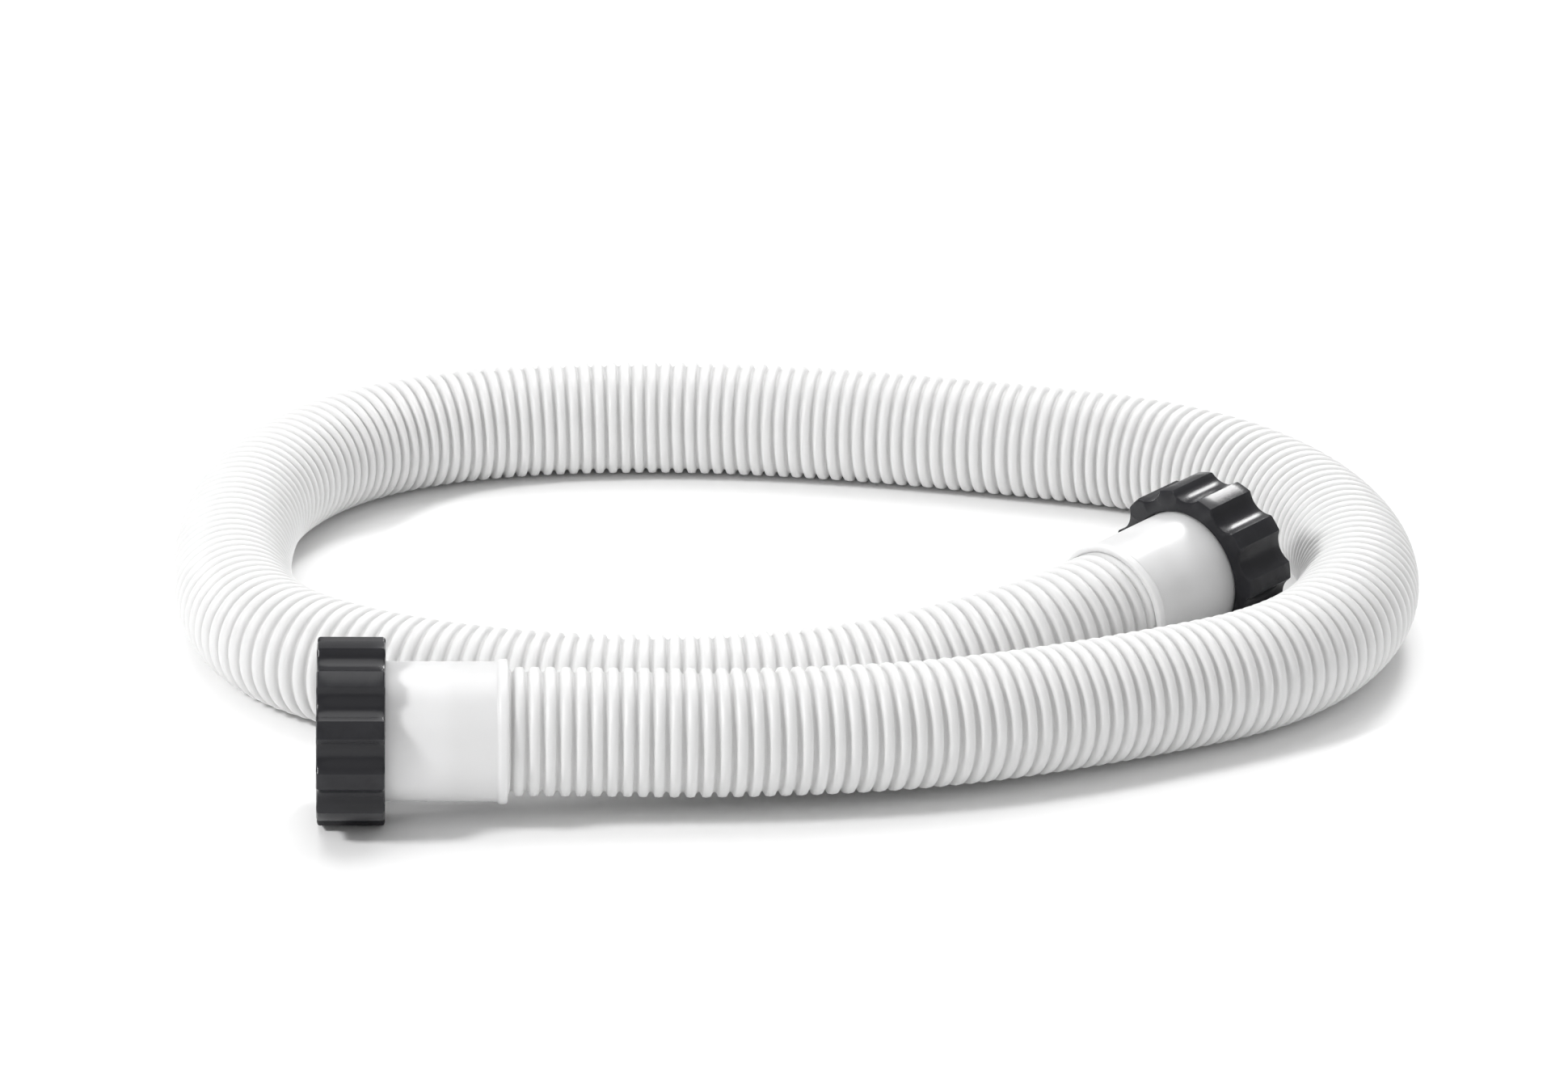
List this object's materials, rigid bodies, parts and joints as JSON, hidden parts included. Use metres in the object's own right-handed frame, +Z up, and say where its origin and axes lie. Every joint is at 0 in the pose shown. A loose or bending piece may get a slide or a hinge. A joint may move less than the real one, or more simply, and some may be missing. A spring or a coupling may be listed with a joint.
{
  "type": "pool vacuum hose",
  "caption": "Corrugated pool hose in a loose flat loop, with a soft cuff and a freely turning threaded union nut on each end.",
  "frame": {"origin": "on the floor that the hose lies on, at the middle of the box round the two ends' fittings", "axes": "+Z up; +X from end A's nut towards the hose behind it, with end A's mouth facing -X; +Y away from end A across the loop"},
  "size_m": [0.4569, 0.3788, 0.0647],
  "materials": {
    "hose_plastic": "white, slightly satin, corrugated",
    "cuff_plastic": "white, smooth satin",
    "spigot_plastic": "white, satin",
    "seal_rubber": "black, matt",
    "nut_plastic": "black, satin moulded"
  },
  "bodies": {
    "hose_and_cuffs": {"hose": "hose_plastic", "cuff_a": "cuff_plastic", "cuff_b": "cuff_plastic", "flanged_spigot_a": "spigot_plastic", "flanged_spigot_b": "spigot_plastic", "seal_ring_a": "seal_rubber", "seal_ring_b": "seal_rubber"},
    "nut_a": {"union_nut_a": "nut_plastic"},
    "nut_b": {"union_nut_b": "nut_plastic"}
  },
  "joints": [
    {"name": "nut_a_spin", "type": "hinge", "parent": "hose_and_cuffs", "child": "nut_a", "pos_m": [-0.15049, -0.065, 0.03172], "axis": [-0.9996, 0, 0.0289], "continuous": true},
    {"name": "nut_b_spin", "type": "hinge", "parent": "hose_and_cuffs", "child": "nut_b", "pos_m": [0.1367, 0.05765, 0.03209], "axis": [0.7303, 0.6816, 0.0463], "continuous": true}
  ]
}
